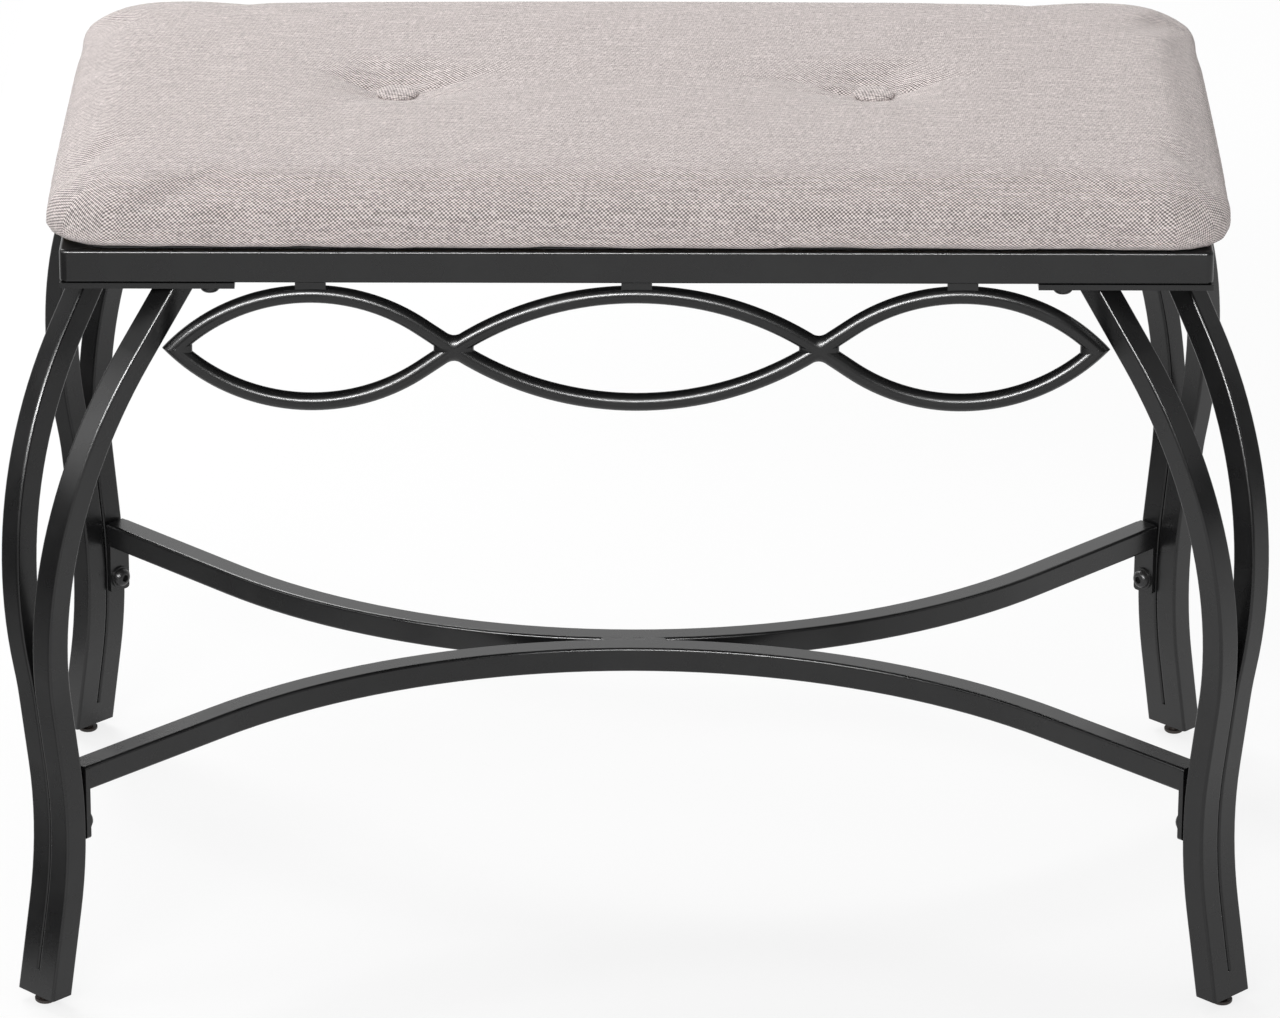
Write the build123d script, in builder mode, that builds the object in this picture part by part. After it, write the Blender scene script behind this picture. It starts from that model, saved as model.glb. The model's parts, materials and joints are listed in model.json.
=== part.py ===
from build123d import *
from math import atan, cos, degrees, radians, sin, sqrt
import os

os.makedirs("parts", exist_ok=True)

# Welded top frame of square tube
frame_width = 600.0
frame_depth = 330.0
frame_corner = 4.0
frame_inner_corner = 1.0
rail_bottom = 405.0
rail_side = 18.0
rail_edge = 1.8
rail_wall = 1.5

# Square tube of the legs and stretchers
tube_side = 14.0
tube_edge = 1.6
tube_wall = 1.2

# Bends of one leg tube, from the foot up to the corner plate, in degrees and millimetres
foot_level = 6.0
foot_out = 23.2
foot_lean = 10.6
foot_run = 49.0
waist_radius = 256.0
waist_turn = 18.3
middle_run = 40.5
spread_radius = 150.0
spread_turn = 6.5
knee_radius = 232.0
knee_turn = 45.6
twin_gap = 0.2

# Solid block that closes each pair of tubes and takes the glide
block_height = 14.0

# Screw-in levelling glides
glide_width = 11.2
glide_sole = 7.6
glide_dome = 1.3
glide_rim = 2.4
stud_size = 6.0
stud_clearance = 0.08
stud_engaged = 9.0

# Corner plates under the rails
plate_thickness = 3.0
plate_reach = 91.0
plate_bolt_reach = 77.8

# Button-head bolts with nuts and washers
bolt_size = 6.0
bolt_clearance = 0.6
bolt_length = 12.5
head_width = 10.5
head_height = 3.3
plate_head_height = 4.6
head_round = 2.9
socket_width = 4.0
socket_depth = 2.0
nut_side = 10.0
nut_height = 5.0
nut_gap = 0.15
washer_width = 12.5
washer_thickness = 1.2

# Stretchers and the tabs on their ends
stretcher_level = 128.0
stretcher_gap = 0.4
tab_thickness = 3.0
tab_below_bolt = 8.5
tab_corner = 2.0
tab_gap = 0.1

# Wave ornament under the long rails
rod_size = 9.5
wave_drop = 7.4
wave_rise = 30.0
wave_end_gap = 59.0
wave_crossing_share = 0.396
wave_spare_angle = 8.0
pad_length = 16.0
pad_width = 6.0

# Cushion outline, crown and layers
cushion_overhang_ends = 8.5
cushion_overhang_sides = 6.5
cushion_corner = 38.0
cushion_height = 42.5
crown_across = 12.0
crown_along = 4.5
crown_spare = 10.0
crown_swing = 8.0
shoulder_round = 21.0
hem_round = 6.0
cover_thickness = 1.2
cover_margin = 30.0
foam_ease = 0.3
board_thickness = 10.0
board_inset = 7.5
dust_thickness = 0.6
dust_gap = 1.0

# Sewn tufts with covered buttons
tuft_share = 0.427
tuft_depth = 14.5
tuft_floor = 11.8
tuft_reach = 62.0
button_width = 22.6
button_height = 5.0
button_crown = 3.4
button_lift = 0.1
tie_size = 2.0
tie_clearance = 0.2
anchor_width = 12.0
anchor_thickness = 1.5

# Lugs and screws that hold the seat
lug_end_gap = 100.0
lug_side = 26.0
lug_thickness = 3.0
screw_size = 4.5
screw_head = 8.5
screw_head_height = 2.6
screw_bite = 7.0
screw_clearance = 0.5

# Sizes that follow from the ones above
half_width = frame_width / 2
half_depth = frame_depth / 2
cushion_width = frame_width + 2 * cushion_overhang_ends
cushion_depth = frame_depth + 2 * cushion_overhang_sides
tuft_spacing = frame_width * tuft_share
lug_spacing = frame_width - 2 * lug_end_gap
wave_tip = half_width - wave_end_gap
wave_crossing = wave_tip * wave_crossing_share
end_half = sqrt(2 * wave_crossing * (wave_tip - wave_crossing)) - wave_crossing
end_crest = wave_tip - end_half
rail_top = rail_bottom + rail_side
rail_bore = rail_side - 2 * rail_wall
tube_bore = tube_side - 2 * tube_wall
plate_level = rail_bottom - plate_thickness
block_top = foot_level + block_height
top_run = plate_level / 4
twin_offset = (tube_side + twin_gap) / 2
bolt_hole = (bolt_size + bolt_clearance) / 2
cushion_top = rail_top + cushion_height
across_radius = (cushion_depth**2 / 4 + crown_across**2) / (2 * crown_across)
along_radius = (cushion_width**2 / 4 + crown_along**2) / (2 * crown_along)
board_bottom = rail_top + cover_thickness
board_top = board_bottom + board_thickness
tuft_level = cushion_top - tuft_depth
screw_row = half_depth - rail_side - lug_side / 2
wave_level = rail_bottom - wave_drop - wave_rise
wave_row = half_depth - rod_size / 2
lean = radians(foot_lean)
up = Vector(0, 0, 1)
corner = Vector(half_width, half_depth, 0)
corner_out = Vector(1, 1, 0).normalized()
corner_side = Vector(-1, 1, 0).normalized()
bolt_row = rail_side / 2
plate_bolt_spots = [
    corner - Vector(plate_bolt_reach, bolt_row, 0),
    corner - Vector(bolt_row, plate_bolt_reach, 0),
]


# Point near the back right leg, measured from the frame corner
def leg_point(out, side, level):
    return corner + corner_out * out + corner_side * side + up * level


# Axis of a bend and the section plane carried round it
def turned(place, toward, radius, angle):
    centre = place.origin + toward * radius
    hinge = Axis(centre, place.z_dir.cross(toward))
    spoke = (place.origin - centre).rotate(hinge, angle)
    after = Plane(
        centre + spoke,
        x_dir=place.x_dir.rotate(hinge, angle),
        z_dir=place.z_dir.rotate(hinge, angle),
    )
    return hinge, after


# Square tube of straight runs, each followed by a bend toward one side of its section
def bent_tube(place, bends):
    with BuildPart() as tube:
        for run, heading, radius, angle in bends:
            with BuildSketch(place):
                RectangleRounded(tube_side, tube_side, tube_edge)
                RectangleRounded(tube_bore, tube_bore, tube_edge - tube_wall, mode=Mode.SUBTRACT)
            extrude(amount=run)
            place = place.offset(run)
            if angle > 0:
                toward = place.x_dir * heading[0] + place.y_dir * heading[1]
                hinge, after = turned(place, toward, radius, angle)
                with BuildSketch(place):
                    RectangleRounded(tube_side, tube_side, tube_edge)
                    RectangleRounded(tube_bore, tube_bore, tube_edge - tube_wall, mode=Mode.SUBTRACT)
                revolve(axis=hinge, revolution_arc=angle)
                place = after
    return tube.part


# Button-head bolt whose head sits behind the plane and whose shank runs along its normal
def button_bolt(place, height):
    with BuildPart() as bolt:
        with BuildSketch(place):
            Circle(head_width / 2)
        extrude(amount=-height)
        fillet(bolt.edges().sort_by(Axis(place.origin, place.z_dir))[0], head_round)
        with BuildSketch(place.offset(-height)):
            RegularPolygon(socket_width / 2, 6, major_radius=False)
        extrude(amount=socket_depth, mode=Mode.SUBTRACT)
        with BuildSketch(place):
            Circle(bolt_size / 2)
        extrude(amount=bolt_length)
    return bolt.part


# Square nut standing on a plane
def square_nut(place):
    with BuildPart() as nut:
        with BuildSketch(place):
            Rectangle(nut_side, nut_side)
            Circle(bolt_size / 2, mode=Mode.SUBTRACT)
        extrude(amount=nut_height)
    return nut.part


# Upper rod of the wave: a run up to an arc round its crest, kept above the middle line between two cuts
def wave_rod(crest, half_chord, rise_angle, keep_start, keep_finish):
    radius = (half_chord**2 + wave_rise**2) / (2 * wave_rise)
    centre = Vector(crest, wave_row, wave_level + wave_rise - radius)
    hinge = Axis(centre, (0, 1, 0))
    fall_angle = Vector(half_chord, 0, radius - wave_rise).get_angle(up) + wave_spare_angle
    arc_start = Plane(
        centre + (up * radius).rotate(hinge, -rise_angle),
        x_dir=(0, 1, 0),
        z_dir=Vector(1, 0, 0).rotate(hinge, -rise_angle),
    )
    with BuildPart() as rod:
        with BuildSketch(arc_start):
            Circle(rod_size / 2)
        revolve(axis=hinge, revolution_arc=rise_angle + fall_angle)
        with BuildSketch(arc_start):
            Circle(rod_size / 2)
        extrude(amount=-wave_rise)
        with BuildSketch(Plane.XY.offset(wave_level)):
            with Locations(((keep_start + keep_finish) / 2, wave_row)):
                Rectangle(keep_finish - keep_start, 2 * rod_size)
        extrude(amount=wave_rise + rod_size, mode=Mode.INTERSECT)
    return rod.part


# Crowned and tufted cushion body, set in by the thickness of the layers around it
def cushion_form(skin):
    top = cushion_top - skin
    across = cushion_depth / 2 + crown_spare
    fall = across_radius - sqrt(across_radius**2 - across**2)
    hinge = Axis((0, 0, top - along_radius), (0, 1, 0))
    swing = crown_swing / 2
    begin = Plane(
        hinge.position - hinge.position.rotate(hinge, -swing),
        x_dir=(0, 1, 0),
        z_dir=Vector(1, 0, 0).rotate(hinge, -swing),
    )
    with BuildPart() as crown:
        with BuildSketch(begin):
            with BuildLine():
                ThreePointArc((-across, top - fall), (0, top), (across, top - fall))
                Polyline(
                    (across, top - fall),
                    (across, rail_bottom),
                    (-across, rail_bottom),
                    (-across, top - fall),
                )
            make_face()
        revolve(axis=hinge, revolution_arc=crown_swing)
    with BuildPart() as form:
        with BuildSketch(Plane.XY.offset(rail_top + skin)):
            RectangleRounded(
                cushion_width - 2 * skin, cushion_depth - 2 * skin, cushion_corner - skin
            )
        extrude(amount=cushion_height + crown_spare)
        add(crown.part, mode=Mode.INTERSECT)
        fillet(form.faces().sort_by(Axis.Z)[-1].edges(), shoulder_round - skin)
        fillet(form.faces().sort_by(Axis.Z)[0].edges(), hem_round - skin)
        for spot in (-tuft_spacing / 2, tuft_spacing / 2):
            with BuildSketch(Plane((spot, 0, 0), x_dir=(1, 0, 0), z_dir=(0, -1, 0))):
                with BuildLine():
                    TangentArc((tuft_reach, top), (tuft_floor, top - tuft_depth), tangent=(-1, 0))
                    Polyline(
                        (tuft_floor, top - tuft_depth),
                        (0, top - tuft_depth),
                        (0, top + crown_spare),
                        (tuft_reach, top + crown_spare),
                        (tuft_reach, top),
                    )
                make_face()
            revolve(axis=Axis((spot, 0, 0), (0, 0, 1)), mode=Mode.SUBTRACT)
    return form.part


# The back right piece and its mirror images, by corner name
def four_corners(shape):
    back_left = mirror(shape, about=Plane.YZ)
    return {
        "back_right": shape,
        "back_left": back_left,
        "front_right": mirror(shape, about=Plane.XZ),
        "front_left": mirror(back_left, about=Plane.XZ),
    }


def save(shape, name):
    shape.label = name
    export_step(shape, "parts/" + name + ".step")


def save_corners(shape, name):
    for place_name, piece in four_corners(shape).items():
        save(piece, name + "_" + place_name)


def save_group(shapes, name):
    save(Compound(children=list(shapes)), name)


# Top frame: one ring of tube with bolt holes below, cut into rails at its mitred corners
with BuildPart() as ring:
    with BuildSketch(Plane.XY.offset(rail_bottom)):
        RectangleRounded(frame_width, frame_depth, frame_corner)
        RectangleRounded(
            frame_width - 2 * rail_side,
            frame_depth - 2 * rail_side,
            frame_inner_corner,
            mode=Mode.SUBTRACT,
        )
    extrude(amount=rail_side)
    level_faces = ring.faces().filter_by(Axis.Z)
    fillet(level_faces.edges(), rail_edge)
    with BuildSketch(Plane.XY.offset(rail_bottom + rail_wall)):
        Rectangle(frame_width - 2 * rail_wall, frame_depth - 2 * rail_wall)
        Rectangle(
            frame_width - 2 * (rail_side - rail_wall),
            frame_depth - 2 * (rail_side - rail_wall),
            mode=Mode.SUBTRACT,
        )
    extrude(amount=rail_bore, mode=Mode.SUBTRACT)
    with BuildSketch(Plane.XY.offset(rail_bottom)):
        for spot in plate_bolt_spots:
            with GridLocations(2 * spot.X, 2 * spot.Y, 2, 2):
                Circle(bolt_hole)
    extrude(amount=2 * rail_wall, mode=Mode.SUBTRACT)


# Part of the ring between the two mitre lines that leave its corners on one side
def mitred_rail(along, reach, place):
    with BuildPart() as rail:
        add(ring.part)
        with BuildSketch(place):
            Polygon(
                (along + rail_side, reach + rail_side),
                (-along - rail_side, reach + rail_side),
                (2 * rail_side - along, reach - 2 * rail_side),
                (along - 2 * rail_side, reach - 2 * rail_side),
                align=None,
            )
        extrude(amount=2 * rail_side, both=True, mode=Mode.INTERSECT)
    return rail.part


back_rail = mitred_rail(half_width, half_depth, Plane.XY.offset(rail_bottom))
right_rail = mitred_rail(
    half_depth, half_width, Plane((0, 0, rail_bottom), x_dir=(0, -1, 0), z_dir=(0, 0, 1))
)
save(back_rail, "back_rail")
save(mirror(back_rail, about=Plane.XZ), "front_rail")
save(right_rail, "right_rail")
save(mirror(right_rail, about=Plane.YZ), "left_rail")

# Seat lugs welded inside the long rails, and the screws through them
lug_spot = Vector(lug_spacing / 2, screw_row, rail_top - lug_thickness)
with BuildPart() as seat_lug:
    with BuildSketch(Plane(lug_spot)):
        Rectangle(lug_side, lug_side)
        Circle((screw_size + screw_clearance) / 2, mode=Mode.SUBTRACT)
    extrude(amount=lug_thickness)
with BuildPart() as seat_screw:
    with BuildSketch(Plane(lug_spot)):
        Circle(screw_head / 2)
    extrude(amount=-screw_head_height)
    fillet(seat_screw.edges().sort_by(Axis.Z)[0], screw_head_height * 0.8)
    with BuildSketch(Plane(lug_spot)):
        Circle(screw_size / 2)
    extrude(amount=board_bottom + screw_bite - lug_spot.Z)
save_group(four_corners(seat_lug.part).values(), "seat_lugs")
save_group(four_corners(seat_screw.part).values(), "seat_screws")

# Leg tubes: the foot leans in as it rises, the waist turns it out and the knee turns it in
foot_place = Plane(
    leg_point(foot_out, twin_offset, foot_level),
    x_dir=corner_out * cos(lean) + up * sin(lean),
    z_dir=up * cos(lean) - corner_out * sin(lean),
)
whole_tube = bent_tube(
    foot_place,
    [
        (foot_run, (1, 0), waist_radius, waist_turn),
        (middle_run, (0, 1), spread_radius, spread_turn),
        (twin_gap, (-1, 0), knee_radius, knee_turn),
        (top_run, (0, 0), 0, 0),
    ],
)

# The waist is where a tube stands upright and the stretcher is bolted on
waist_level = foot_level + foot_run * cos(lean) + waist_radius * sin(lean)
waist_out = foot_out - foot_run * sin(lean) - waist_radius * (1 - cos(lean))
waist_face = waist_out - tube_side / 2
waist_place = Plane(
    leg_point(waist_face, twin_offset, waist_level), x_dir=up, z_dir=corner_out
)
with BuildPart() as plain_tube:
    add(whole_tube)
    with BuildSketch(Plane(corner + up * block_top)):
        Rectangle(frame_width, frame_width)
    extrude(amount=plate_level - block_top, mode=Mode.INTERSECT)
with BuildPart() as bolted_tube:
    add(plain_tube.part)
    with BuildSketch(waist_place):
        Circle(bolt_hole)
    extrude(amount=tube_side / 2, both=True, mode=Mode.SUBTRACT)
twin_plane = Plane(corner, x_dir=corner_out, z_dir=corner_side)
save_corners(bolted_tube.part, "leg_tube_long_side")
save_corners(mirror(plain_tube.part, about=twin_plane), "leg_tube_short_side")

# Foot blocks
block_place = Plane(leg_point(foot_out, 0, foot_level), x_dir=corner_out, z_dir=up)
with BuildPart() as foot_block:
    with BuildSketch(block_place):
        RectangleRounded(tube_side / cos(lean), 2 * tube_side + twin_gap, tube_edge)
    extrude(amount=block_height / cos(lean), dir=foot_place.z_dir)
    with BuildSketch(block_place):
        Circle(stud_size / 2 + stud_clearance)
    extrude(amount=block_height, mode=Mode.SUBTRACT)
save_corners(foot_block.part, "foot_block")

# Levelling glides: a domed foot on a stud
stud_top = foot_level + stud_engaged
with BuildPart() as glide:
    with BuildSketch(Plane(leg_point(foot_out, 0, 0), x_dir=corner_out, z_dir=-corner_side)):
        with BuildLine():
            Line((0, 0), (glide_sole / 2, 0))
            TangentArc((glide_sole / 2, 0), (glide_width / 2, glide_dome), tangent=(1, 0))
            Polyline(
                (glide_width / 2, glide_dome),
                (glide_width / 2, glide_rim),
                (stud_size / 2, glide_rim),
                (stud_size / 2, stud_top),
                (0, stud_top),
                (0, 0),
            )
        make_face()
    revolve(axis=Axis(leg_point(foot_out, 0, 0), up))
save_corners(glide.part, "levelling_glide")

# Corner plates, bolted up into nuts inside the rails
plate_place = Plane(corner + up * plate_level, x_dir=(-1, 0, 0), z_dir=(0, 0, 1))
with BuildPart() as corner_plate:
    with BuildSketch(plate_place) as plate_outline:
        Polygon(
            (0, 0),
            (plate_reach, 0),
            (plate_reach, rail_side),
            (rail_side, plate_reach),
            (0, plate_reach),
            align=None,
        )
        fillet(plate_outline.vertices().sort_by_distance(corner)[0], frame_corner)
        with Locations((plate_bolt_reach, bolt_row), (bolt_row, plate_bolt_reach)):
            Circle(bolt_hole, mode=Mode.SUBTRACT)
    extrude(amount=plate_thickness)
save_corners(corner_plate.part, "corner_plate")

plate_bolts = []
plate_nuts = []
nut_level = rail_bottom + rail_wall + nut_gap
for spot in plate_bolt_spots:
    plate_bolts.extend(four_corners(button_bolt(Plane(spot + up * plate_level), plate_head_height)).values())
    plate_nuts.extend(four_corners(square_nut(Plane(spot + up * nut_level))).values())
save_group(plate_bolts, "plate_bolts")
save_group(plate_nuts, "plate_nuts")

# Stretcher tabs with their bolts, washers and nuts
tab_place = waist_place.offset(-tab_gap)
tab_top = stretcher_level + tube_side / 2 - waist_level
with BuildPart() as stretcher_tab:
    with BuildSketch(tab_place):
        with Locations(((tab_top - tab_below_bolt) / 2, 0)):
            RectangleRounded(tab_top + tab_below_bolt, tube_side, tab_corner)
        Circle(bolt_hole, mode=Mode.SUBTRACT)
    extrude(amount=-tab_thickness)
save_corners(stretcher_tab.part, "stretcher_tab")

washer_place = tab_place.offset(-tab_thickness)
with BuildPart() as bolt_washer:
    with BuildSketch(washer_place):
        Circle(washer_width / 2)
        Circle(bolt_hole, mode=Mode.SUBTRACT)
    extrude(amount=-washer_thickness)
stretcher_bolt = button_bolt(washer_place.offset(-washer_thickness), head_height)
stretcher_nut = square_nut(waist_place.offset(tube_wall + nut_gap))
save_group(four_corners(bolt_washer.part).values(), "stretcher_washers")
save_group(four_corners(stretcher_bolt).values(), "stretcher_bolts")
save_group(four_corners(stretcher_nut).values(), "stretcher_nuts")

# Stretchers: straight from each tab, then an arc that meets the other stretcher in the middle
end_out = waist_face - tab_gap - tab_thickness
stretcher_end = leg_point(end_out, twin_offset, stretcher_level)
apex_row = (tube_side + stretcher_gap) / 2
arc_radius = (apex_row + stretcher_end.X - stretcher_end.Y) / (sqrt(2) - 1)
end_run = stretcher_end.X * sqrt(2) - arc_radius
back_stretcher = bent_tube(
    Plane(stretcher_end, x_dir=corner_side, z_dir=-corner_out),
    [(end_run, (1, 0), arc_radius, 90), (end_run, (0, 0), 0, 0)],
)
save(back_stretcher, "back_stretcher")
save(mirror(back_stretcher, about=Plane.XZ), "front_stretcher")

# Wave rods: a long lens in the middle of each long side and a short one at either end
crossing_angle = 2 * degrees(atan(wave_rise / wave_crossing))
middle_arc = wave_rod(0, wave_crossing, crossing_angle, -wave_crossing, wave_crossing)
side_arc = wave_rod(end_crest, end_half, crossing_angle, wave_crossing, half_width)
middle_line = Plane.XY.offset(wave_level)
upper_arcs = {
    "middle": middle_arc,
    "right": side_arc,
    "left": mirror(side_arc, about=Plane.YZ),
}
for part_name, upper_arc in upper_arcs.items():
    lower_arc = mirror(upper_arc, about=middle_line)
    save(upper_arc, "back_wave_upper_" + part_name)
    save(lower_arc, "back_wave_lower_" + part_name)
    save(mirror(upper_arc, about=Plane.XZ), "front_wave_upper_" + part_name)
    save(mirror(lower_arc, about=Plane.XZ), "front_wave_lower_" + part_name)

# Weld pads between the wave crests and the rails
wave_pads = []
for part_name, crest in {"middle": 0, "right": end_crest, "left": -end_crest}.items():
    with BuildPart() as pad:
        with BuildSketch(Plane((crest, wave_row, rail_bottom))):
            Rectangle(pad_length, pad_width)
        extrude(amount=-wave_drop)
        add(upper_arcs[part_name], mode=Mode.SUBTRACT)
        with BuildSketch(Plane((crest, wave_row, rail_bottom - wave_drop))):
            Rectangle(pad_length * 2, pad_width * 2)
        extrude(amount=-wave_rise, mode=Mode.SUBTRACT)
    wave_pads.append(pad.part)
    wave_pads.append(mirror(pad.part, about=Plane.XZ))
save_group(wave_pads, "wave_pads")

# Seat board, with holes for the ties, anchors and screws
tuft_spots = [(-tuft_spacing / 2, 0), (tuft_spacing / 2, 0)]
with BuildPart() as seat_board:
    with BuildSketch(Plane.XY.offset(board_bottom)):
        RectangleRounded(
            cushion_width - 2 * board_inset,
            cushion_depth - 2 * board_inset,
            cushion_corner - board_inset,
        )
        with Locations(*tuft_spots):
            Circle((tie_size + tie_clearance) / 2, mode=Mode.SUBTRACT)
    extrude(amount=board_thickness)
    with BuildSketch(Plane.XY.offset(board_bottom)):
        with Locations(*tuft_spots):
            Circle((anchor_width + tie_clearance) / 2)
    extrude(amount=anchor_thickness, mode=Mode.SUBTRACT)
    with BuildSketch(Plane.XY.offset(board_bottom)):
        with GridLocations(lug_spacing, 2 * screw_row, 2, 2):
            Circle(screw_size / 2)
    extrude(amount=screw_bite, mode=Mode.SUBTRACT)
save(seat_board.part, "seat_board")

# Foam over the board
foam_form = cushion_form(cover_thickness + foam_ease)
with BuildPart() as seat_foam:
    add(foam_form)
    with BuildSketch(Plane.XY.offset(board_top)):
        Rectangle(2 * cushion_width, 2 * cushion_depth)
    extrude(amount=-2 * board_thickness, mode=Mode.SUBTRACT)
    with BuildSketch(Plane.XY.offset(board_top)):
        with Locations(*tuft_spots):
            Circle((tie_size + tie_clearance) / 2)
    extrude(amount=cushion_height, mode=Mode.SUBTRACT)
save(seat_foam.part, "seat_foam")

# Cover drawn over the foam and folded under the board
cover_outside = cushion_form(0)
cover_inside = cushion_form(cover_thickness)
with BuildPart() as seat_cover:
    add(cover_outside)
    add(cover_inside, mode=Mode.SUBTRACT)
    with BuildSketch(Plane.XY.offset(rail_top)):
        RectangleRounded(
            cushion_width - 2 * cover_margin,
            cushion_depth - 2 * cover_margin,
            cushion_corner - cover_margin,
        )
    extrude(amount=2 * cover_thickness, mode=Mode.SUBTRACT)
    with BuildSketch(Plane.XY.offset(board_top)):
        with Locations(*tuft_spots):
            Circle((tie_size + tie_clearance) / 2)
    extrude(amount=cushion_height, mode=Mode.SUBTRACT)
save(seat_cover.part, "seat_cover")

# Dust cover inside the folded margin
with BuildPart() as dust_cover:
    with BuildSketch(Plane.XY.offset(board_bottom)):
        RectangleRounded(
            cushion_width - 2 * (cover_margin + dust_gap),
            cushion_depth - 2 * (cover_margin + dust_gap),
            cushion_corner - cover_margin,
        )
        with GridLocations(lug_spacing, 2 * screw_row, 2, 2):
            Circle((screw_size + screw_clearance) / 2, mode=Mode.SUBTRACT)
    extrude(amount=-dust_thickness)
save(dust_cover.part, "dust_cover")

# Buttons with their ties and anchors
button_level = tuft_level + button_lift
with BuildPart() as button:
    with BuildSketch(Plane((tuft_spacing / 2, 0, button_level))):
        Circle(button_width / 2)
    extrude(amount=button_height)
    fillet(button.edges().sort_by(Axis.Z)[-1], button_crown)
    fillet(button.edges().sort_by(Axis.Z)[0], button_height - button_crown - button_lift)
save(button.part, "tuft_button_right")
save(mirror(button.part, about=Plane.YZ), "tuft_button_left")

with BuildPart() as tuft_tie:
    with BuildSketch(Plane((tuft_spacing / 2, 0, board_bottom))):
        Circle(tie_size / 2)
    extrude(amount=button_level - board_bottom)
with BuildPart() as tuft_anchor:
    with BuildSketch(Plane((tuft_spacing / 2, 0, board_bottom))):
        Circle(anchor_width / 2)
        Circle((tie_size + tie_clearance) / 2, mode=Mode.SUBTRACT)
    extrude(amount=anchor_thickness)
save_group([tuft_tie.part, mirror(tuft_tie.part, about=Plane.YZ)], "tuft_ties")
save_group([tuft_anchor.part, mirror(tuft_anchor.part, about=Plane.YZ)], "tuft_anchors")
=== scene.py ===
import json
import math
import bmesh
import bpy
import numpy as np
from mathutils import Matrix, Vector

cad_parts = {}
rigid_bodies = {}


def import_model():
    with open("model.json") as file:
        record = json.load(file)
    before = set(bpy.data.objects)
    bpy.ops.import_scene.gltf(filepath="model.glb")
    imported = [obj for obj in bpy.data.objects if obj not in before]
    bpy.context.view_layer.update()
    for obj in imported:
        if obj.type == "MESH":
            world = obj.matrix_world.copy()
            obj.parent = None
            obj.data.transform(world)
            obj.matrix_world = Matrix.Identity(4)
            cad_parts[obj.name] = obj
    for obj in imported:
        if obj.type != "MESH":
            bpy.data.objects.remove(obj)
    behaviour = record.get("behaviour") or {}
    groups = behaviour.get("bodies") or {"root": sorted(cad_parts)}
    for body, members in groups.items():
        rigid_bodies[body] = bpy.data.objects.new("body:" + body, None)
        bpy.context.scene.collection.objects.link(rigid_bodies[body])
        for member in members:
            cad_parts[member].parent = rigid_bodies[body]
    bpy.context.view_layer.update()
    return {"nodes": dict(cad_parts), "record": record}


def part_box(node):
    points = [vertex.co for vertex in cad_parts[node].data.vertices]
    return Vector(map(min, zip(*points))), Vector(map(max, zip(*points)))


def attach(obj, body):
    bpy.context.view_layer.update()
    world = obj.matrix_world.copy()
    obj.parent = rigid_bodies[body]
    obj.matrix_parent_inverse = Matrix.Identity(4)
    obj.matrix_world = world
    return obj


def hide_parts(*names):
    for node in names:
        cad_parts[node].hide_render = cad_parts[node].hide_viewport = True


for oldThing in list(bpy.data.objects):  # an empty stage, whatever Blender opened with
    bpy.data.objects.remove(oldThing)

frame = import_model()
nodes = frame["nodes"]
scene = bpy.context.scene
mm = 0.001
tiny = 1e-9  # keeps divisions safe
print("frame loaded:", len(nodes), "CAD nodes")


# quads of a grid with so many rows and columns of points, wrapped round in columns if closed
def gridQuads(rows, columns, closed=False, first=0):
    across = columns if closed else columns - 1
    r, c = np.meshgrid(np.arange(rows - 1), np.arange(across), indexing="ij")
    nextC = (c + 1) % columns
    here, after = r * columns, (r + 1) * columns
    quads = np.stack([here + c, here + nextC, after + nextC, after + c], -1)
    return quads.reshape(-1, 4) + first


def newPiece(name, points, faces, material, body="bench"):
    mesh = bpy.data.meshes.new(name)
    mesh.from_pydata(np.asarray(points).tolist(), [], [list(f) for f in np.asarray(faces).tolist()])
    mesh.polygons.foreach_set("use_smooth", np.ones(len(mesh.polygons), bool))
    mesh.update()
    piece = bpy.data.objects.new(name, mesh)
    scene.collection.objects.link(piece)
    mesh.materials.append(material)
    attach(piece, body)
    return piece


# several grids of the same body joined into one list of points and faces
def joinGrids(grids):
    points, faces, count = [], [], 0
    for gridPoints, gridFaces in grids:
        points.append(gridPoints)
        faces.append(gridFaces + count)
        count += len(gridPoints)
    return np.concatenate(points), np.concatenate(faces)


# points that coincide become one, so poles and seams close, and faces turn outwards
def closeSeams(piece, gap=0.001 * mm):
    work = bmesh.new()
    work.from_mesh(piece.data)
    bmesh.ops.remove_doubles(work, verts=work.verts[:], dist=gap)
    bmesh.ops.recalc_face_normals(work, faces=work.faces[:])
    work.to_mesh(piece.data)
    work.free()


# node helpers
def addNode(tree, kind, values=None, **settings):
    node = tree.nodes.new(kind)
    for key, value in settings.items():
        setattr(node, key, value)
    for key, value in (values or {}).items():
        socket = node.inputs[key]
        if hasattr(value, "is_output"):
            tree.links.new(value, socket)
        else:
            socket.default_value = value
    return node


def mathNode(tree, operation, first, second=0.0, third=0.0):
    node = addNode(tree, "ShaderNodeMath", {0: first, 1: second, 2: third}, operation=operation)
    return node.outputs[0]


def newGroup(name, inputs, outputs):
    group = bpy.data.node_groups.new(name, "ShaderNodeTree")
    for way, sockets in (("INPUT", inputs), ("OUTPUT", outputs)):
        for label, kind in sockets:
            group.interface.new_socket(label, in_out=way, socket_type=kind)
    return group, group.nodes.new("NodeGroupInput").outputs, group.nodes.new("NodeGroupOutput").inputs


def newMaterial(name, **sockets):
    material = bpy.data.materials.new(name)
    material.use_nodes = True
    tree = material.node_tree
    shader = tree.nodes["Principled BSDF"]
    for key, value in sockets.items():
        shader.inputs[key.replace("_", " ")].default_value = value
    return material, tree, shader


def placeGroup(tree, group, values):
    return addNode(tree, "ShaderNodeGroup", values, node_tree=group).outputs


def bumpInto(tree, shader, height, strength, distance):
    bump = addNode(tree, "ShaderNodeBump", {"Height": height, "Strength": strength, "Distance": distance})
    tree.links.new(bump.outputs["Normal"], shader.inputs["Normal"])


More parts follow.
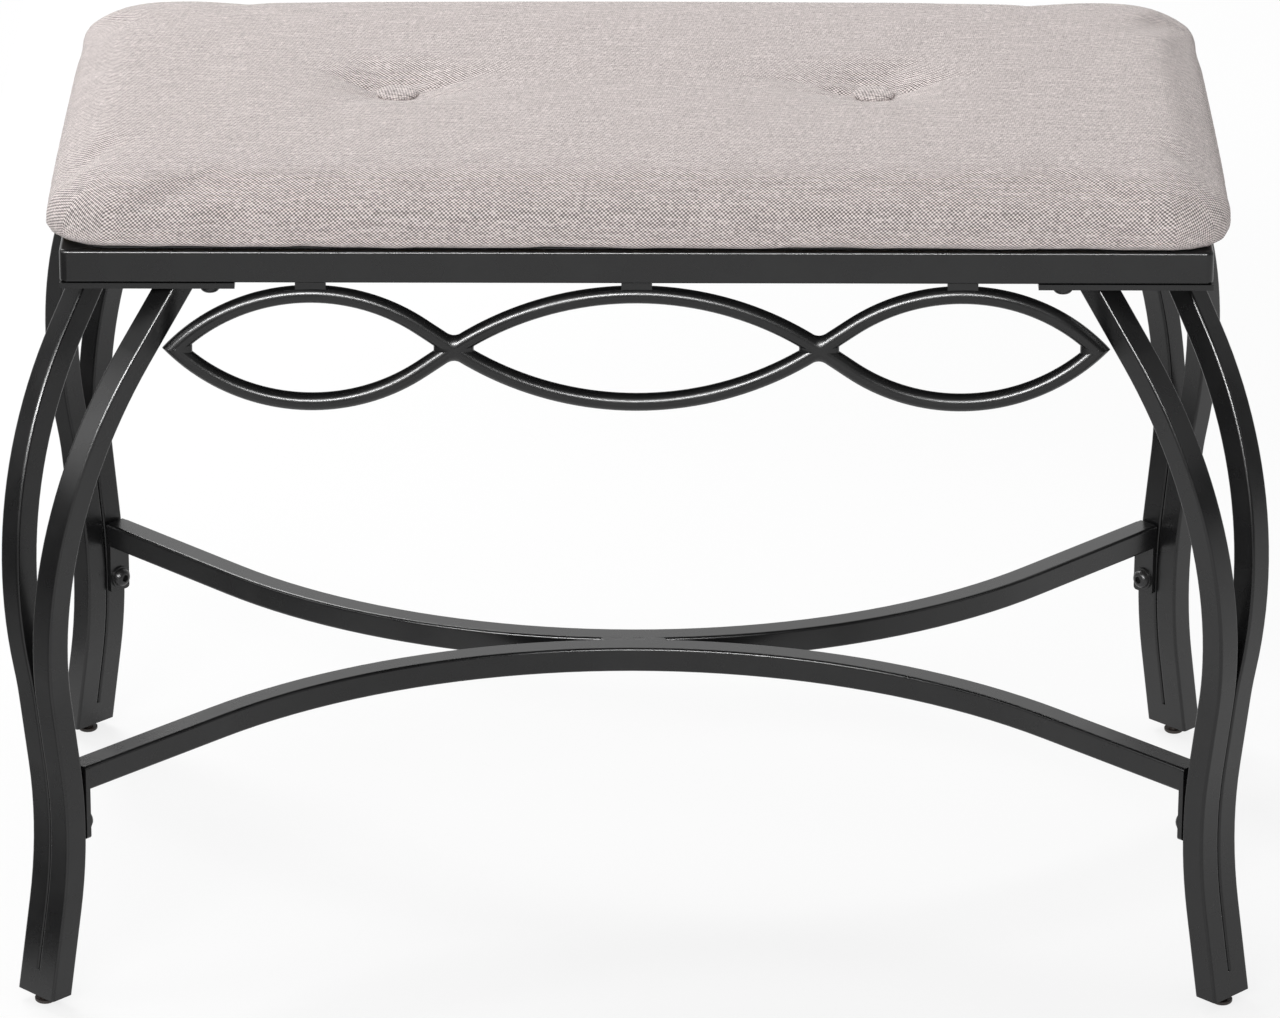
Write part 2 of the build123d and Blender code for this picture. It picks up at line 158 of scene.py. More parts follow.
# a base plus a share of how far a noise lies from its middle
def addNoise(tree, base, noise, share):
    return mathNode(tree, "MULTIPLY_ADD", mathNode(tree, "SUBTRACT", noise, 0.5), share, base)


# noise drawn out by its own scale along each way
def stretchedNoise(tree, place, scale, detail):
    drawn = addNode(tree, "ShaderNodeMapping", {"Vector": place, "Scale": scale}).outputs[0]
    noise = addNode(tree, "ShaderNodeTexNoise", {"Vector": drawn, "Scale": 1.0, "Detail": detail})
    return noise.outputs["Fac"]


def mixColours(tree, share, first, second):
    return addNode(tree, "ShaderNodeMix", {0: share, 6: first, 7: second}, data_type="RGBA").outputs[2]


def opaque(colour):
    return (*colour, 1)


threadLook = {  # tone of a thread: slow along its run, new from thread to thread; also the share of painted shade where threads dive
    "run": 0.06, "step": 0.83, "weftSeed": 3.1, "warpSeed": 8.7, "warpShare": 0.4, "paintedDiveShade": 0.4,
}


# plain weave: square cells, warp over weft in turn; weft slubs show as streaks, warp ones stay faint; each
# thread gets painted shade where it dives
def makeWeaveGroup(look):
    group, given, put = newGroup(
        "wovenThreads",
        [("Vector", "NodeSocketVector"), ("Pitch", "NodeSocketFloat"),
         ("Slub", "NodeSocketFloat"), ("Contrast", "NodeSocketFloat")],
        [("Shade", "NodeSocketFloat"), ("Height", "NodeSocketFloat")],
    )
    cells = addNode(group, "ShaderNodeVectorMath", {0: given["Vector"]}, operation="SCALE")
    group.links.new(mathNode(group, "DIVIDE", 1.0, given["Pitch"]), cells.inputs["Scale"])
    split = addNode(group, "ShaderNodeSeparateXYZ", {0: cells.outputs[0]})
    a, b = split.outputs[0], split.outputs[1]
    warpIndex, weftIndex = mathNode(group, "FLOOR", a), mathNode(group, "FLOOR", b)
    over = mathNode(group, "PINGPONG", mathNode(group, "ADD", warpIndex, weftIndex), 1.0)
    domeA = mathNode(group, "SINE", mathNode(group, "MULTIPLY", mathNode(group, "FRACT", a), math.pi))
    domeB = mathNode(group, "SINE", mathNode(group, "MULTIPLY", mathNode(group, "FRACT", b), math.pi))
    dome = mathNode(group, "MULTIPLY", domeA, domeB)
    weftPlace = addNode(group, "ShaderNodeCombineXYZ", {
        0: mathNode(group, "MULTIPLY", a, look["run"]),
        1: mathNode(group, "MULTIPLY", weftIndex, look["step"]), 2: look["weftSeed"]})
    warpPlace = addNode(group, "ShaderNodeCombineXYZ", {
        0: mathNode(group, "MULTIPLY", warpIndex, look["step"]),
        1: mathNode(group, "MULTIPLY", b, look["run"]), 2: look["warpSeed"]})
    tone = {"Scale": 1.0, "Detail": 1.0}
    weftTone = addNode(group, "ShaderNodeTexNoise", {"Vector": weftPlace.outputs[0], **tone})
    warpTone = addNode(group, "ShaderNodeTexNoise", {"Vector": warpPlace.outputs[0], **tone})
    low = mathNode(group, "MULTIPLY_ADD", given["Contrast"], -0.5, 0.5)
    high = mathNode(group, "MULTIPLY_ADD", given["Contrast"], 0.5, 0.5)
    warpSlub = mathNode(group, "MULTIPLY", given["Slub"], look["warpShare"])
    weft = addNoise(group, low, weftTone.outputs["Fac"], given["Slub"])
    warp = addNoise(group, high, warpTone.outputs["Fac"], warpSlub)
    pick = addNode(group, "ShaderNodeMix", {0: over, 2: weft, 3: warp}, data_type="FLOAT")
    # painted shade: threads darken where they dive under their neighbours, as the hollows of the weave would
    # fall in shade
    paintedDiveShade = mathNode(group, "MULTIPLY_ADD", dome, look["paintedDiveShade"], 1 - look["paintedDiveShade"])
    group.links.new(mathNode(group, "MULTIPLY", pick.outputs[0], paintedDiveShade), put["Shade"])
    group.links.new(dome, put["Height"])
    return group


peelLook = {
    "patches": 38.0, "glossFrom": 0.3, "glossTo": 0.7, "filmFrom": 0.45, "filmTo": 0.8, "height": 0.2 * mm,
}


# powder coat: a fine orange peel with a slow change of gloss
def makeCoatGroup(look):
    group, given, put = newGroup(
        "coatGrain",
        [("Vector", "NodeSocketVector"), ("Grain", "NodeSocketFloat"),
         ("Gloss Low", "NodeSocketFloat"), ("Gloss High", "NodeSocketFloat")],
        [("Roughness", "NodeSocketFloat"), ("Height", "NodeSocketFloat"), ("Film", "NodeSocketFloat")],
    )
    place = given["Vector"]
    peel = addNode(group, "ShaderNodeTexNoise", {"Vector": place, "Scale": given["Grain"], "Detail": 2.0})
    patch = addNode(group, "ShaderNodeTexNoise", {"Vector": place, "Scale": look["patches"], "Detail": 3.0})
    rough = addNode(group, "ShaderNodeMapRange", {
        0: patch.outputs["Fac"], 1: look["glossFrom"], 2: look["glossTo"],
        3: given["Gloss Low"], 4: given["Gloss High"]})
    film = addNode(group, "ShaderNodeMapRange", {
        0: patch.outputs["Fac"], 1: look["filmFrom"], 2: look["filmTo"], 3: 0.0, 4: 1.0})
    group.links.new(rough.outputs[0], put["Roughness"])
    group.links.new(peel.outputs["Fac"], put["Height"])
    group.links.new(film.outputs[0], put["Film"])
    return group


weaveGroup = makeWeaveGroup(threadLook)
coatGroup = makeCoatGroup(peelLook)


def objectPlace(tree):
    return addNode(tree, "ShaderNodeTexCoord").outputs["Object"]


# woven heather cloth on the piece's own fabric coordinates
def makeCloth(name, look):
    material, tree, shader = newMaterial(
        name, Sheen_Weight=look["sheen"], Sheen_Roughness=0.5, Specular_IOR_Level=0.2, Roughness=0.9)
    place = addNode(tree, "ShaderNodeAttribute", attribute_name="weave").outputs["Vector"]
    heading = (0, 0, math.radians(look["turn"]))
    turned = addNode(tree, "ShaderNodeMapping", {"Vector": place, "Rotation": heading}).outputs[0]
    threads = placeGroup(tree, weaveGroup, {
        "Vector": turned, "Pitch": look["pitch"], "Slub": look["slub"], "Contrast": look["contrast"]})
    streak = stretchedNoise(tree, place, look["streakScale"], detail=3.0)
    fleck = stretchedNoise(tree, place, look["fleckScale"], detail=1.0)
    streaked = addNoise(tree, threads["Shade"], streak, look["streak"])
    ramp = addNode(tree, "ShaderNodeValToRGB", {"Fac": addNoise(tree, streaked, fleck, look["fleck"])})
    for stop, tone in zip(ramp.color_ramp.elements, ("dark", "pale")):
        stop.position = look[tone + "Stop"]
        stop.color = opaque(look[tone])
    tree.links.new(ramp.outputs[0], shader.inputs["Base Color"])
    bumpInto(tree, shader, threads["Height"], look["bump"], look["pitch"] * look["relief"])
    return material


# satin coat, shared by everything that is painted or blackened
def makeCoat(name, look):
    material, tree, shader = newMaterial(name, Specular_IOR_Level=look["specular"], Metallic=look["metal"])
    coat = placeGroup(tree, coatGroup, {
        "Vector": objectPlace(tree), "Grain": look["grain"],
        "Gloss Low": look["gloss"][0], "Gloss High": look["gloss"][1]})
    tint = mixColours(tree, coat["Film"], opaque(look["colour"]), opaque(look["film"]))
    tree.links.new(tint, shader.inputs["Base Color"])
    tree.links.new(coat["Roughness"], shader.inputs["Roughness"])
    bumpInto(tree, shader, coat["Height"], look["bump"], peelLook["height"])
    return material


grainHeight = 0.4 * mm


# raw sheet stuff: a base colour with grain drawn out along one way
def makeGrained(name, look):
    material, tree, shader = newMaterial(name, Roughness=look["roughness"], Specular_IOR_Level=0.3)
    grain = stretchedNoise(tree, objectPlace(tree), look["stretch"], detail=6.0)
    tint = mixColours(tree, grain, opaque(look["dark"]), opaque(look["pale"]))
    if "edge" in look:  # faces that stand upright are the sheet's edge; they get a near-black colour as painted shade for the gap under the hem
        normal = addNode(tree, "ShaderNodeTexCoord").outputs["Normal"]
        facing = addNode(tree, "ShaderNodeSeparateXYZ", {0: normal}).outputs[2]
        paintedShadeEdge = mathNode(tree, "LESS_THAN", mathNode(tree, "ABSOLUTE", facing), look["uprightBelow"])
        # painted shade: the upright edge faces take the near-black edge colour
        tint = mixColours(tree, paintedShadeEdge, tint, opaque(look["edge"]))
    tree.links.new(tint, shader.inputs["Base Color"])
    bumpInto(tree, shader, grain, look["bump"], grainHeight)
    return material


clothLook = {
    "pitch": 1.09 * mm, "turn": 0.0, "contrast": 0.85, "slub": 0.5, "relief": 0.35,
    "streak": 0.55, "streakScale": (38, 330, 1), "fleck": 1.0, "fleckScale": (330, 560, 1),
    "dark": (0.17, 0.147, 0.143), "darkStop": 0.08, "pale": (0.8, 0.72, 0.7), "paleStop": 0.72,
    "sheen": 0.1, "bump": 0.5,
}
buttonLook = dict(clothLook, turn=35.0, contrast=0.45)
frameLook = {
    "colour": (0.0052, 0.0052, 0.0055), "film": (0.008, 0.008, 0.0083), "grain": 900.0,
    "gloss": (0.25, 0.31), "specular": 0.46, "metal": 0.0, "bump": 0.03,
}
boltLook = {
    "colour": (0.012, 0.012, 0.013), "film": (0.03, 0.029, 0.028), "grain": 1500.0,
    "gloss": (0.28, 0.4), "specular": 0.6, "metal": 0.25, "bump": 0.08,
}
glideLook = {
    "colour": (0.022, 0.014, 0.011), "film": (0.035, 0.025, 0.02), "grain": 700.0,
    "gloss": (0.36, 0.5), "specular": 0.5, "metal": 0.0, "bump": 0.1,
}
zincLook = {
    "colour": (0.55, 0.55, 0.53), "film": (0.42, 0.43, 0.44), "grain": 1200.0,
    "gloss": (0.25, 0.4), "specular": 0.5, "metal": 1.0, "bump": 0.05,
}
woodLook = {  # the edge is painted near black as painted shade, so it reads as the shaded gap under the hem
    "roughness": 0.7, "stretch": (12, 260, 700), "dark": (0.38, 0.25, 0.13), "pale": (0.66, 0.5, 0.31),
    "bump": 0.3, "edge": (0.012, 0.011, 0.011), "uprightBelow": 0.7,
}
foamLook = {
    "roughness": 0.95, "stretch": (900, 900, 900), "dark": (0.6, 0.54, 0.36), "pale": (0.82, 0.77, 0.58),
    "bump": 0.8,
}
dustLook = {
    "roughness": 0.9, "stretch": (1600, 260, 800), "dark": (0.008, 0.008, 0.009),
    "pale": (0.035, 0.035, 0.036), "bump": 0.6,
}
twineLook = {
    "roughness": 0.85, "stretch": (900, 900, 300), "dark": (0.45, 0.4, 0.32), "pale": (0.75, 0.7, 0.6),
    "bump": 0.7,
}

finishes = {
    "woven_cover": makeCloth("wovenCover", clothLook),
    "black_frame": makeCoat("satinBlack", frameLook),
    "black_bolts": makeCoat("blackBolts", boltLook),
    "glide_plastic": makeCoat("glidePlastic", glideLook),
    "zinc_steel": makeCoat("zincSteel", zincLook),
    "plywood": makeGrained("plywood", woodLook),
    "seat_filling": makeGrained("seatFoam", foamLook),
    "dust_cloth": makeGrained("dustCloth", dustLook),
    "twine": makeGrained("twine", twineLook),
}
buttonCloth = makeCloth("buttonCloth", buttonLook)
for subpart in frame["record"]["subparts"]:
    node = nodes[subpart["node"]]
    node.data.materials.clear()
    node.data.materials.append(finishes[subpart["material_slot"]])
print("finishes made:", len(finishes) + 1)

# cushion: a grid top, rings down the sides and under the hem, and a grid closing the underside
coverLow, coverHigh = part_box("seat_cover")
buttonLow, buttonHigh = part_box("tuft_button_right")
tuftSpot = (buttonLow.x + buttonHigh.x) / 2
cushionLook = {
    "corner": 38 * mm, "shoulderReach": 30 * mm, "shoulderDrop": 12 * mm, "hem": 8 * mm,
    "sink": 7.3 * mm, "crownAcross": 6 * mm, "crownAlong": 1.5 * mm,  # before it swells
    "bulge": 0.8 * mm, "ledge": 1.6 * mm, "ledgeLevel": 20 * mm, "ledgeHeight": 6 * mm,
    "cornerPush": 3.4 * mm, "pushHeight": 13 * mm,
    "margin": 30 * mm, "recess": 1.9 * mm, "hemWave": 0.7 * mm, "hemRise": 2.2 * mm,
    # the hem is drawn up at the left and down at the right
    "hemSkew": 1.5 * mm, "skewStart": 190 * mm, "skewRun": 110 * mm,
    "sway": 2.0 * mm, "turn": 0.0065, "spread": 1.1 * mm,  # the cover sits a little askew
    "swayStart": 160 * mm, "swayRun": 110 * mm,
    "cellsAlong": 116, "cellsAcross": 66, "crowdWidth": 34 * mm, "crowdAlong": 1.6, "crowdAcross": 0.8,
    "shoulderRows": 12, "sideRows": 6, "hemRows": 5, "underRows": 6, "underGap": 0.4 * mm,
    "pressure": 3.2, "cap": 5 * mm, "frames": 20, "quality": 4, "heldHem": 0.8, "heldAbove": 10 * mm,
    "evenOut": 14, "keepRound": 40 * mm, "endShare": 0.5,
    "tuftFloor": 11.8 * mm, "tuftReach": 47 * mm, "tuftRise": 1.0 * mm,
    "lean": 0.14, "closeness": 1.11,  # warp threads lean, and weft threads lie closer
}


# places along a line that crowd together round two spots
def crowdedSteps(half, count, spot, width, gain, samples=4001):
    t = np.linspace(-half, half, samples)
    density = 1 + gain * (np.exp(-((t - spot) / width) ** 2) + np.exp(-((t + spot) / width) ** 2))
    share = np.cumsum(density)
    share = (share - share[0]) / (share[-1] - share[0])
    return np.interp(np.linspace(0, 1, count + 1), share, t)


# square grid bent into a rounded rectangle: a corner square of side r becomes a quarter disc
def roundedGrid(x, y, straightX, straightY, radius, reach):
    a = np.clip((np.abs(x) - straightX) / radius, 0, 1)
    b = np.clip((np.abs(y) - straightY) / radius, 0, 1)
    newX = np.sign(x) * (np.minimum(np.abs(x), straightX) + reach * a * np.sqrt(1 - b * b / 2))
    newY = np.sign(y) * (np.minimum(np.abs(y), straightY) + reach * b * np.sqrt(1 - a * a / 2))
    return newX, newY


# crown: flat in the middle, falling as a fourth power to front and back, with a smooth dip round each button
def crownLevel(x, y, look):
    fall = look["crownAcross"] * (y / coverHigh.y) ** 4 + look["crownAlong"] * (x / coverHigh.x) ** 2
    level = coverHigh.z - look["sink"] - fall
    reach = np.hypot(np.abs(x) - tuftSpot, y) - look["tuftFloor"]
    dip = (1 - np.clip(reach / (look["tuftReach"] - look["tuftFloor"]), 0, 1)) ** 2
    return level * (1 - dip) + (buttonLow.z + look["tuftRise"]) * dip


def makeCushionShape(look):
    nx, ny = look["cellsAlong"], look["cellsAcross"]
    inner = look["corner"] - look["shoulderReach"]
    straightX, straightY = coverHigh.x - look["corner"], coverHigh.y - look["corner"]
    xs = crowdedSteps(straightX + inner, nx, tuftSpot, look["crowdWidth"], look["crowdAlong"])
    ys = crowdedSteps(straightY + inner, ny, 0.0, look["crowdWidth"], look["crowdAcross"])
    gridX, gridY = np.meshgrid(xs, ys)
    topX, topY = roundedGrid(gridX, gridY, straightX, straightY, inner, inner)
    top = np.stack([topX, topY, crownLevel(topX, topY, look)], -1).reshape(-1, 3)
    topFabric = np.stack([topX, topY, 0 * topX], -1).reshape(-1, 3)
    index = np.arange((nx + 1) * (ny + 1)).reshape(ny + 1, nx + 1)
    loop = np.concatenate([index[0, :-1], index[:-1, -1], index[-1, :0:-1], index[:0:-1, 0]])
    rim = top[loop]
    centre = np.clip(rim[:, :2], (-straightX, -straightY), (straightX, straightY))
    outward = (rim[:, :2] - centre) / inner
    # one side section from the shoulder round to the underside: outward reach, level, arc length
    phi = np.linspace(0, math.pi / 2, look["shoulderRows"] + 1)[1:]
    psi = np.linspace(0, math.pi / 2, look["hemRows"] + 1)[1:]
    drop = np.linspace(0, 1, look["sideRows"] + 1)[1:]
    sideTop = rim[:, 2] - look["shoulderDrop"]
    sideEnd = coverLow.z + look["hem"]
    flat = 0 * sideTop
    rows = []
    for angle in phi:
        reach = inner + look["shoulderReach"] * np.sin(angle)
        rows.append((reach, rim[:, 2] - look["shoulderDrop"] * (1 - np.cos(angle))))
    for t in drop:
        reach = look["corner"] + look["bulge"] * np.sin(math.pi * t) ** 2
        rows.append((reach, sideTop + (sideEnd - sideTop) * t))
    for angle in psi:
        reach = look["corner"] - look["hem"] * (1 - np.cos(angle))
        rows.append((reach, coverLow.z + look["hem"] * (1 - np.sin(angle)) + flat))
    underside = look["corner"] - look["margin"]
    for reach in np.linspace(look["corner"] - look["hem"], underside, look["underRows"] + 1)[1:]:
        rows.append((reach, coverLow.z + flat))
    rings, fabric = [], []
    length, last = np.full(len(rim), inner), (np.full(len(rim), inner), rim[:, 2])
    for reach, level in rows:
        reach = np.full(len(rim), reach)
        length = length + np.hypot(reach - last[0], level - last[1])
        last = (reach, level)
        rings.append(np.column_stack([centre + outward * reach[:, None], level]))
        fabric.append(np.column_stack([centre + outward * length[:, None], 0 * level]))
    lowX, lowY = roundedGrid(gridX, gridY, straightX, straightY, inner, underside - look["underGap"])
    low = np.stack([lowX, lowY, np.full_like(lowX, coverLow.z + look["recess"])], -1).reshape(-1, 3)
    lowFabric = np.stack([lowX, lowY, 0 * lowX], -1).reshape(-1, 3)
    points = np.concatenate([top, *rings, low])
    cloth = np.concatenate([topFabric, *fabric, lowFabric])
    cloth[:, 0] -= look["lean"] * cloth[:, 1]
    cloth[:, 1] *= look["closeness"]
    size, count = len(top), len(loop)
    lowStart = size + len(rings) * count
    loops = [loop, *np.arange(size, lowStart).reshape(-1, count), lowStart + loop]
    faces = [gridQuads(ny + 1, nx + 1)]
    for upper, lower in zip(loops[:-1], loops[1:]):
        faces.append(np.stack([upper, lower, np.roll(lower, -1), np.roll(upper, -1)], -1))
    faces.append(gridQuads(ny + 1, nx + 1, first=lowStart)[:, ::-1])
    held = np.zeros(len(points))
    held[points[:, 2] < coverLow.z + look["hem"] * look["heldHem"]] = 1
    reach = np.hypot(np.abs(points[:, 0]) - tuftSpot, points[:, 1])
    held[(reach < look["tuftFloor"]) & (points[:, 2] > coverLow.z + look["heldAbove"])] = 1
    return points, np.concatenate(faces), cloth, held


# cloth swollen by pressure, held at the hem and the tufts, its travel capped
def swell(piece, held, look):
    group = piece.vertex_groups.new(name="held")
    group.add([int(i) for i in np.nonzero(held)[0]], 1.0, "REPLACE")
    rest = np.empty(len(piece.data.vertices) * 3)
    piece.data.vertices.foreach_get("co", rest)
    cloth = piece.modifiers.new("swell", "CLOTH")
    cloth.settings.vertex_group_mass = "held"
    cloth.settings.use_pressure = True
    cloth.settings.uniform_pressure_force = look["pressure"]
    cloth.settings.quality = look["quality"]
    cloth.settings.effector_weights.gravity = 0
    cloth.collision_settings.use_collision = False
    for number in range(1, look["frames"] + 1):
        scene.frame_set(number)
    moved = np.empty_like(rest)
    evaluated = piece.evaluated_get(bpy.context.evaluated_depsgraph_get())
    evaluated.data.vertices.foreach_get("co", moved)
    piece.modifiers.clear()
    piece.vertex_groups.clear()
    scene.frame_set(1)
    travel = (moved - rest).reshape(-1, 3)
    size = np.linalg.norm(travel, axis=1, keepdims=True) + tiny
    print("cushion swelled by at most %.1f mm, median %.1f mm" % (size.max() / mm, np.median(size) / mm))
    travel = travel * (look["cap"] * np.tanh(size / look["cap"]) / size)
    travel[:, 0] *= look["endShare"]
    # the top's travel is averaged from front to back with bell-shaped weights, except close to a tuft
    # or an edge, so no line is drawn between the tufts
    columns, lines = look["cellsAlong"] + 1, look["cellsAcross"] + 1
    top = travel[: columns * lines].reshape(lines, columns, 3)
    steps = np.arange(lines)
    share = np.exp(-((steps[:, None] - steps[None, :]) / look["evenOut"]) ** 2)
    even = np.einsum("ij,jkc->ikc", share / share.sum(1, keepdims=True), top)
    spot = rest.reshape(-1, 3)[: columns * lines]
    near = np.exp(-(np.hypot(np.abs(spot[:, 0]) - tuftSpot, spot[:, 1]) / look["keepRound"]) ** 2)
    along = np.arange(columns)
    edge = np.minimum(np.minimum(steps, steps[::-1])[:, None], np.minimum(along, along[::-1])[None, :])
    keep = np.maximum(near.reshape(lines, columns), 1 - np.clip(edge / look["evenOut"], 0, 1))[:, :, None]
    travel[: columns * lines] = (top * keep + even * (1 - keep)).reshape(-1, 3)
    piece.data.vertices.foreach_set("co", (rest.reshape(-1, 3) + travel).ravel())
    piece.data.update()


def subdivideOnce(piece):
    modifier = piece.modifiers.new("finer", "SUBSURF")
    modifier.levels = modifier.render_levels = 1
    evaluated = piece.evaluated_get(bpy.context.evaluated_depsgraph_get())
    finer = bpy.data.meshes.new_from_object(evaluated)
    piece.modifiers.clear()
    piece.data = finer


foldLook = [  # angle in degrees from the right, depth, angular width, reach
    {"turn": 168, "depth": 1.7 * mm, "width": 0.17, "reach": 34 * mm},
    {"turn": 14, "depth": 1.9 * mm, "width": 0.15, "reach": 38 * mm},
    {"turn": 118, "depth": 0.9 * mm, "width": 0.24, "reach": 22 * mm},
    {"turn": 62, "depth": 0.8 * mm, "width": 0.26, "reach": 22 * mm},
    {"turn": 205, "depth": 0.8 * mm, "width": 0.2, "reach": 24 * mm},
    {"turn": 318, "depth": 0.6 * mm, "width": 0.22, "reach": 22 * mm},
]
sideLook = {
    "topAbove": 15 * mm, "foldStart": 6 * mm, "foldGain": 1.6, "foldShift": 7, "shiftPace": 2.3,
    "sideStart": 4 * mm, "sideInset": 16 * mm, "around": (61, 83),  # radians a metre, along x and y
    "waves": ((1.0, 0.72, 0.6), (0.7, 1.57, 2.0), (0.4, 3.3, 0.0)),  # size, pace and start of each
    "pucker": 0.3 * mm, "puckerPace": 4.1, "puckerLevel": 5 * mm, "puckerHeight": 6 * mm,
    "hemHeight": 14 * mm, "hemRun": 10 * mm,
}


# creases that run out from each button, and a ledge, small puckers and waves round the side
def drawInFolds(piece, look, side):
    points = np.empty(len(piece.data.vertices) * 3)
    piece.data.vertices.foreach_get("co", points)
    points = points.reshape(-1, 3)
    onTop = points[:, 2] > coverLow.z + side["topAbove"]
    for way in (-1, 1):
        dx, dy = points[:, 0] - way * tuftSpot, points[:, 1]
        reach, turn = np.hypot(dx, dy), np.arctan2(dy, dx)
        rise = np.clip((reach - look["tuftFloor"]) / side["foldStart"], 0, 1)
        for number, fold in enumerate(foldLook):
            shift = way * side["foldShift"] * math.cos(side["shiftPace"] * number)
            heading = math.radians(fold["turn"] + shift)
            off = np.angle(np.exp(1j * (turn - heading))) / fold["width"]
            depth = fold["depth"] * np.exp(-off ** 2) * rise * np.exp(-(reach / fold["reach"]) ** 2)
            points[:, 2] -= np.where(onTop, depth * side["foldGain"], 0)
    # side: set back above a ledge, puckers along the hem, and the hem drawn up a little in waves
    straight = np.array([coverHigh.x - look["corner"], coverHigh.y - look["corner"]])
    centre = np.clip(points[:, :2], -straight, straight)
    out = points[:, :2] - centre
    far = np.linalg.norm(out, axis=1) + tiny
    out = out / far[:, None]
    height = points[:, 2] - coverLow.z
    onSide = np.clip((far - side["sideStart"]) / (look["corner"] - side["sideInset"]), 0, 1)
    ledge = look["ledge"] / 2 * (1 + np.tanh((height - look["ledgeLevel"]) / (look["ledgeHeight"] / 2)))
    around = points[:, 0] * side["around"][0] + points[:, 1] * side["around"][1]
    wave = sum(size * np.sin(around * pace + start) for size, pace, start in side["waves"])
    nearHem = np.exp(-((height - side["puckerLevel"]) / side["puckerHeight"]) ** 2)
    pucker = side["pucker"] * np.sin(around * side["puckerPace"] + wave) * nearHem
    points[:, :2] -= out * ((ledge + pucker) * onSide)[:, None]
    # the corners are squarer near the hem: pushed out along their diagonals
    diagonal = 2 * np.abs(out[:, 0] * out[:, 1]) * onSide
    push = look["cornerPush"] * diagonal * np.clip(2 - height / look["pushHeight"], 0, 1)
    points[:, :2] += out * push[:, None]
    outside = np.clip((far - look["corner"] + side["sideInset"]) / side["hemRun"], 0, 1)
    low = np.clip(1 - height / side["hemHeight"], 0, 1) ** 2 * outside
    skew = np.clip((np.abs(points[:, 0]) - look["skewStart"]) / look["skewRun"], 0, 1)
    skew = skew * -np.sign(points[:, 0])
    points[:, 2] += low * (look["hemRise"] + look["hemWave"] * wave / 2 + look["hemSkew"] * skew)
    outer = np.clip((np.abs(points[:, 0]) - look["swayStart"]) / look["swayRun"], 0, 1)
    spread = look["spread"] * np.sign(points[:, 0])
    points[:, 0] += outer * (look["sway"] + look["turn"] * points[:, 1] + spread)
    piece.data.vertices.foreach_set("co", points.ravel())
    piece.data.update()


def setWeave(piece, places):
    weave = piece.data.attributes.new("weave", "FLOAT_VECTOR", "POINT")
    weave.data.foreach_set("vector", places.ravel())


shapePoints, shapeFaces, fabricPoints, heldPoints = makeCushionShape(cushionLook)
cushion = newPiece("cushion", shapePoints, shapeFaces, finishes["woven_cover"])
setWeave(cushion, fabricPoints)
swell(cushion, heldPoints, cushionLook)
subdivideOnce(cushion)
drawInFolds(cushion, cushionLook, sideLook)
cushion.data.polygons.foreach_set("use_smooth", np.ones(len(cushion.data.polygons), bool))
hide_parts("seat_cover", "seat_foam")
print("cushion made:", len(cushion.data.polygons), "faces")

# covered buttons: a low dome over a tucked rim, spun from one section and closed below
capLook = {
    "spokes": 72, "steps": 44, "dome": 3.0 * mm, "tuck": 1.8 * mm, "domeEnd": 0.6, "rimEnd": 0.85,
    "pinch": 0.04 * mm, "pinches": 18, "pinchPower": 6,
}


def makeButton(name, nodeName, look):
    low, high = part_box(nodeName)
    radius = (high.x - low.x) / 2
    middle = (low + high) / 2
    s = np.linspace(0, 1, look["steps"])
    # section in three runs: quarter ellipse over the dome, curve in under the rim, straight to the middle
    over = np.clip(s / look["domeEnd"], 0, 1)
    under = np.clip((s - look["domeEnd"]) / (look["rimEnd"] - look["domeEnd"]), 0, 1)
    back = np.clip((s - look["rimEnd"]) / (1 - look["rimEnd"]), 0, 1)
    reach = (radius * np.sin(over * math.pi / 2) - look["tuck"] * under ** 2) * (1 - back)
    fall = look["dome"] * (1 - np.cos(over * math.pi / 2))
    level = high.z - fall - (high.z - low.z - look["dome"]) * under
    turn = np.linspace(0, 2 * math.pi, look["spokes"], endpoint=False)
    pinched = over ** look["pinchPower"] * (1 - back)
    ripple = look["pinch"] * np.cos(look["pinches"] * turn)[None, :] * pinched[:, None]
    x = middle.x + (reach[:, None] - ripple) * np.cos(turn)
    y = middle.y + (reach[:, None] - ripple) * np.sin(turn)
    z = np.repeat(level[:, None], len(turn), 1)
    points = np.stack([x, y, z], -1).reshape(-1, 3)
    points[: look["spokes"]] = (middle.x, middle.y, high.z)
    faces = gridQuads(len(s), look["spokes"], closed=True)
    button = newPiece(name, points, faces, buttonCloth)
    # the cloth lies by its length down the section
    along = np.concatenate([[0], np.cumsum(np.hypot(np.diff(reach), np.diff(level)))])[:, None]
    setWeave(button, np.stack([along * np.cos(turn), along * np.sin(turn), 0 * z], -1))
    closeSeams(button)
    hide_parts(nodeName)


for sideName in ("left", "right"):
    makeButton("button_" + sideName, "tuft_button_" + sideName, capLook)
print("buttons made")

# welds of the waves
weldLook = {
    "spokes": 120, "rings": 16, "fill": 3.2, "slim": 0.92, "proud": 1.02, "hidden": 0.7,
    "crossReach": 11 * mm, "crossBlunt": 10.5 * mm, "tipPlace": 241 * mm, "tipReach": 9.5 * mm,
    "tipBlunt": 9.2 * mm, "bluntTurn": 13.0, "leastCosine": 0.1,
}


